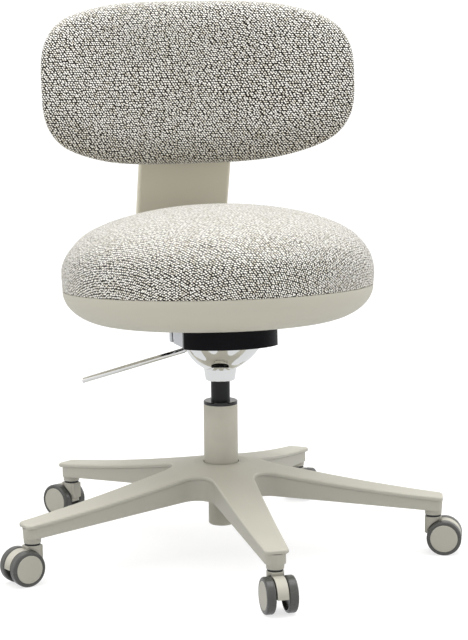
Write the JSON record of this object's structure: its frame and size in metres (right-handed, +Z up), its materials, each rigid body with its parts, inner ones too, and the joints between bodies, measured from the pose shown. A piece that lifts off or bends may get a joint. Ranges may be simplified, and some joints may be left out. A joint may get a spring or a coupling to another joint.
{
  "type": "adjustable swivel stool",
  "caption": "Low-back swivel stool: round padded seat, curved padded back on a flat arm, gas lift with release lever, five-arm base with twin-wheel casters.",
  "frame": {"origin": "where the column's axis meets the floor", "axes": "+Z up along the column; the sitter faces -Y; the release lever points to -X"},
  "size_m": [0.6853, 0.6519, 0.8043],
  "materials": {
    "cream_plastic": "fine moulded satin",
    "tread_grey": "satin wheel tread",
    "black_plastic": "plain moulded",
    "cream_enamel": "satin powder coat",
    "black_enamel": "fine-textured powder coat",
    "steel": "machined",
    "zinc": "zinc-plated sheet",
    "bell_metal": "polished plating",
    "lever_chrome": "polished plating",
    "buffer_rubber": "moulded",
    "plywood": "raw birch",
    "seat_fabric": "flecked cream boucle over foam",
    "back_fabric": "flecked cream boucle over foam"
  },
  "bodies": {
    "base": {"star_base": "cream_plastic", "stem_bushes": "black_plastic", "column_tube": "cream_enamel", "guide_bush": "black_plastic", "thrust_bearing": "steel"},
    "rod": {"piston_rod": "steel", "upper_washer": "steel", "retaining_clip": "steel", "rod_buffer": "buffer_rubber"},
    "seat": {"pressure_tube": "black_enamel", "top_plate": "black_enamel", "mechanism_cover": "black_enamel", "mechanism_channel": "zinc", "floor_plate": "black_enamel", "taper_socket": "steel", "bell_cover": "bell_metal", "seat_pan": "cream_plastic", "seat_board": "plywood", "seat_cushion": "seat_fabric", "back_arm": "cream_plastic", "back_board": "plywood", "back_shell": "cream_plastic", "back_cushion": "back_fabric", "frame_screws": "steel"},
    "lever": {"lever": "lever_chrome", "lever_block": "black_plastic"},
    "button": {"release_button": "steel"},
    "caster_1": {"caster_1_housing": "cream_plastic", "caster_1_pins": "steel"},
    "caster_1_left": {"caster_1_wheel_left": "tread_grey", "caster_1_cap_left": "cream_plastic"},
    "caster_1_right": {"caster_1_wheel_right": "tread_grey", "caster_1_cap_right": "cream_plastic"},
    "caster_2": {"caster_2_housing": "cream_plastic", "caster_2_pins": "steel"},
    "caster_2_left": {"caster_2_wheel_left": "tread_grey", "caster_2_cap_left": "cream_plastic"},
    "caster_2_right": {"caster_2_wheel_right": "tread_grey", "caster_2_cap_right": "cream_plastic"},
    "caster_3": {"caster_3_housing": "cream_plastic", "caster_3_pins": "steel"},
    "caster_3_left": {"caster_3_wheel_left": "tread_grey", "caster_3_cap_left": "cream_plastic"},
    "caster_3_right": {"caster_3_wheel_right": "tread_grey", "caster_3_cap_right": "cream_plastic"},
    "caster_4": {"caster_4_housing": "cream_plastic", "caster_4_pins": "steel"},
    "caster_4_left": {"caster_4_wheel_left": "tread_grey", "caster_4_cap_left": "cream_plastic"},
    "caster_4_right": {"caster_4_wheel_right": "tread_grey", "caster_4_cap_right": "cream_plastic"},
    "caster_5": {"caster_5_housing": "cream_plastic", "caster_5_pins": "steel"},
    "caster_5_left": {"caster_5_wheel_left": "tread_grey", "caster_5_cap_left": "cream_plastic"},
    "caster_5_right": {"caster_5_wheel_right": "tread_grey", "caster_5_cap_right": "cream_plastic"}
  },
  "joints": [
    {"name": "seat_swivel", "type": "hinge", "parent": "base", "child": "rod", "pos_m": [0, 0, 0.1], "axis": [0, 0, 1], "continuous": true},
    {"name": "seat_height", "type": "slide", "parent": "rod", "child": "seat", "axis": [0, 0, 1], "range_m": [-0.015, 0.1]},
    {"name": "lever_pull", "type": "hinge", "parent": "seat", "child": "lever", "pos_m": [-0.018, 0.022, 0.326], "axis": [0, 1, 0], "range_deg": [0, 8], "stiffness_Nm_per_rad": 2},
    {"name": "button_press", "type": "slide", "parent": "seat", "child": "button", "axis": [0, 0, -1], "range_m": [0, 0.003], "stiffness_N_per_m": 600},
    {"name": "caster_1_swivel", "type": "hinge", "parent": "base", "child": "caster_1", "pos_m": [0, -0.3117, 0.06], "axis": [0, 0, 1], "continuous": true},
    {"name": "caster_1_left_spin", "type": "hinge", "parent": "caster_1", "child": "caster_1_left", "pos_m": [0.00029, -0.3282, 0.0255], "axis": [0.9998, 0.0175, 0], "continuous": true},
    {"name": "caster_1_right_spin", "type": "hinge", "parent": "caster_1", "child": "caster_1_right", "pos_m": [0.00029, -0.3282, 0.0255], "axis": [0.9998, 0.0175, 0], "continuous": true},
    {"name": "caster_2_swivel", "type": "hinge", "parent": "base", "child": "caster_2", "pos_m": [0.29644, -0.09632, 0.06], "axis": [0, 0, 1], "continuous": true},
    {"name": "caster_2_left_spin", "type": "hinge", "parent": "caster_2", "child": "caster_2_left", "pos_m": [0.31185, -0.10223, 0.0255], "axis": [0.3584, 0.9336, 0], "continuous": true},
    {"name": "caster_2_right_spin", "type": "hinge", "parent": "caster_2", "child": "caster_2_right", "pos_m": [0.31185, -0.10223, 0.0255], "axis": [0.3584, 0.9336, 0], "continuous": true},
    {"name": "caster_3_swivel", "type": "hinge", "parent": "base", "child": "caster_3", "pos_m": [0.18321, 0.25217, 0.06], "axis": [0, 0, 1], "continuous": true},
    {"name": "caster_3_left_spin", "type": "hinge", "parent": "caster_3", "child": "caster_3_left", "pos_m": [0.19291, 0.26552, 0.0255], "axis": [-0.809, 0.5878, 0], "continuous": true},
    {"name": "caster_3_right_spin", "type": "hinge", "parent": "caster_3", "child": "caster_3_right", "pos_m": [0.19291, 0.26552, 0.0255], "axis": [-0.809, 0.5878, 0], "continuous": true},
    {"name": "caster_4_swivel", "type": "hinge", "parent": "base", "child": "caster_4", "pos_m": [-0.18321, 0.25217, 0.06], "axis": [0, 0, 1], "continuous": true},
    {"name": "caster_4_left_spin", "type": "hinge", "parent": "caster_4", "child": "caster_4_left", "pos_m": [-0.19337, 0.26517, 0.0255], "axis": [-0.788, -0.6157, 0], "continuous": true},
    {"name": "caster_4_right_spin", "type": "hinge", "parent": "caster_4", "child": "caster_4_right", "pos_m": [-0.19337, 0.26517, 0.0255], "axis": [-0.788, -0.6157, 0], "continuous": true},
    {"name": "caster_5_swivel", "type": "hinge", "parent": "base", "child": "caster_5", "pos_m": [-0.29644, -0.09632, 0.06], "axis": [0, 0, 1], "continuous": true},
    {"name": "caster_5_left_spin", "type": "hinge", "parent": "caster_5", "child": "caster_5_left", "pos_m": [-0.31195, -0.10196, 0.0255], "axis": [0.342, -0.9397, 0], "continuous": true},
    {"name": "caster_5_right_spin", "type": "hinge", "parent": "caster_5", "child": "caster_5_right", "pos_m": [-0.31195, -0.10196, 0.0255], "axis": [0.342, -0.9397, 0], "continuous": true}
  ],
  "couplings": [
    {"joint": "button_press", "follows": "lever_pull", "m_per_rad": 0.018}
  ]
}
